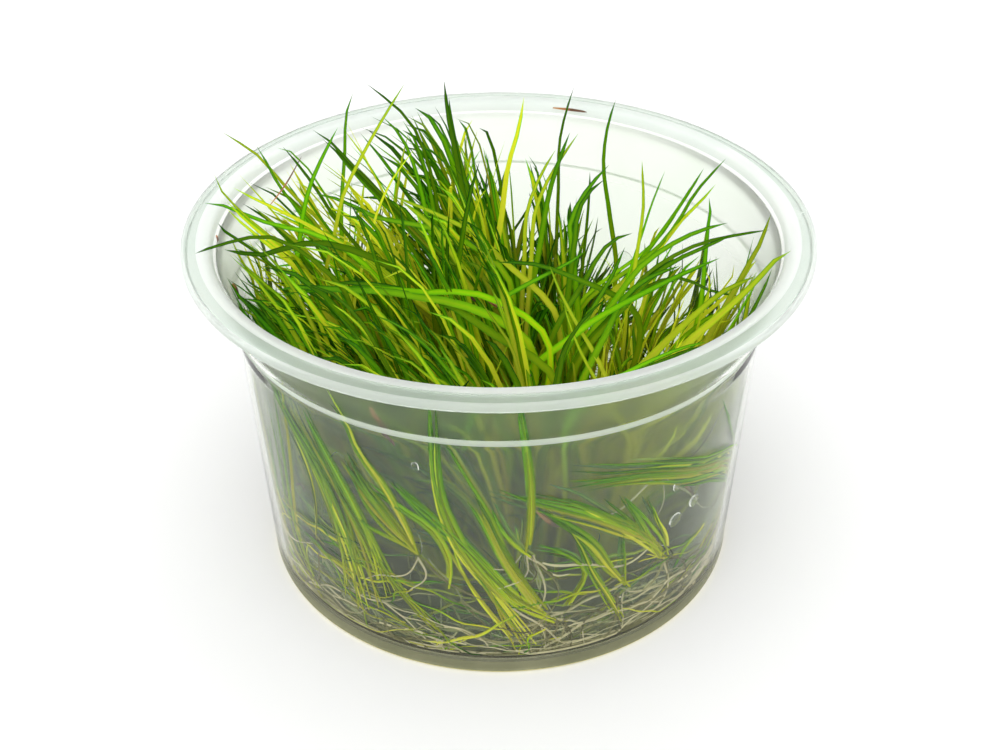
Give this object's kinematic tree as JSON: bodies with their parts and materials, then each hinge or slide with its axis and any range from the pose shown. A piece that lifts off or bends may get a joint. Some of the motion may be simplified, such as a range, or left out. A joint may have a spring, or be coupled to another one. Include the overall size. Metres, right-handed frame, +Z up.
{
  "type": "dwarf hairgrass in a tissue culture cup",
  "caption": "Tufts of fine pointed aquarium grass that fill a round clear plastic culture cup with a flat rim, on a thin layer of clear gel.",
  "frame": {"origin": "centre of the cup's base, on the surface that it stands on", "axes": "+Z up along the cup's axis, -Y towards the viewer of the picture"},
  "size_m": [0.1, 0.1, 0.082],
  "materials": {
    "clear_plastic": "clear, slightly frosted injection moulded polypropylene",
    "gel": "wet clear culture gel with a grey-brown tinge",
    "grass": "living leaf, satin, yellow-green at the base and deep green at the tip",
    "root": "pale wet roots, cream to light brown",
    "dead_leaf": "dry red-brown dead blade"
  },
  "bodies": {
    "root": {"culture_gel": "gel", "cup": "clear_plastic", "standing_tuft_01": "grass", "standing_tuft_02": "grass", "standing_tuft_03": "grass", "standing_tuft_04": "grass", "standing_tuft_05": "grass", "standing_tuft_06": "grass", "standing_tuft_07": "grass", "standing_tuft_08": "grass", "standing_tuft_09": "grass", "standing_tuft_10": "grass", "standing_tuft_11": "grass", "standing_tuft_12": "grass", "standing_tuft_13": "grass", "standing_tuft_14": "grass", "standing_tuft_15": "grass", "standing_tuft_16": "grass", "standing_tuft_17": "grass", "standing_tuft_18": "grass", "standing_tuft_19": "grass", "standing_tuft_20": "grass", "standing_tuft_21": "grass", "standing_tuft_22": "grass", "standing_tuft_23": "grass", "standing_tuft_24": "grass", "standing_tuft_25": "grass", "standing_tuft_26": "grass", "standing_tuft_27": "grass", "standing_tuft_28": "grass", "standing_tuft_29": "grass", "standing_tuft_30": "grass", "wall_tuft_01": "grass", "wall_tuft_02": "grass", "wall_tuft_03": "grass", "wall_tuft_04": "grass", "wall_tuft_05": "grass", "wall_tuft_06": "grass", "wall_tuft_07": "grass", "wall_tuft_08": "grass", "wall_tuft_09": "grass", "wall_tuft_10": "grass", "wall_tuft_11": "grass", "wall_tuft_12": "grass", "wall_tuft_13": "grass", "wall_tuft_14": "grass"}
  },
  "joints": []
}
